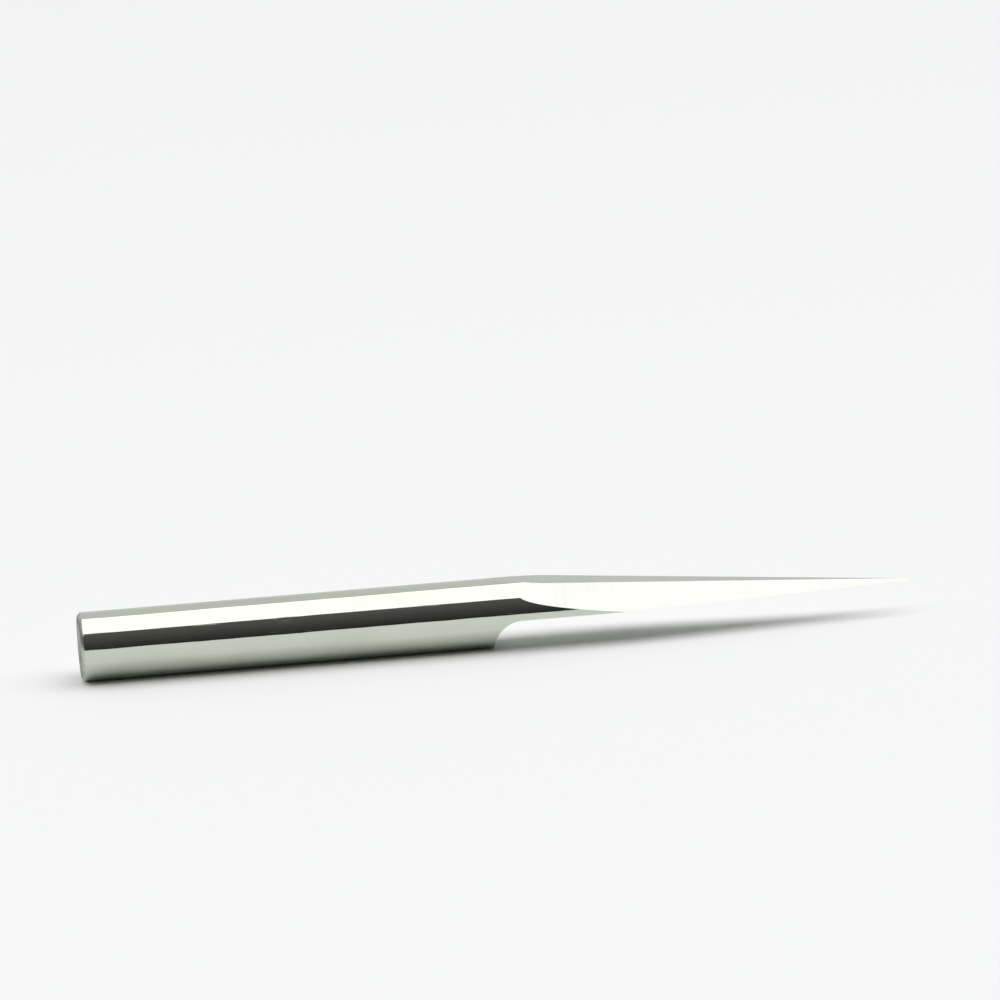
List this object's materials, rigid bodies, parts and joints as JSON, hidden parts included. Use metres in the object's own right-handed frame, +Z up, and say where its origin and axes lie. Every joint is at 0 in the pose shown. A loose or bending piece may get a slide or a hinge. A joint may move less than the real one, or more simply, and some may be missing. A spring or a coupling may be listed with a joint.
{
  "type": "v groove router bit",
  "caption": "Slender one-piece carbide V bit: a round shank that runs out into a half-round cutting end, with flat facets on its back that meet at a fine point.",
  "frame": {"origin": "centre of the shank's end face, on the bit's axis", "axes": "+X along the bit towards its point, +Z up, with the half-round flat facing down"},
  "size_m": [0.0381, 0.0032, 0.0032],
  "materials": {
    "carbide": "ground and polished tungsten carbide"
  },
  "bodies": {
    "root": {"router_bit": "carbide"}
  },
  "joints": []
}
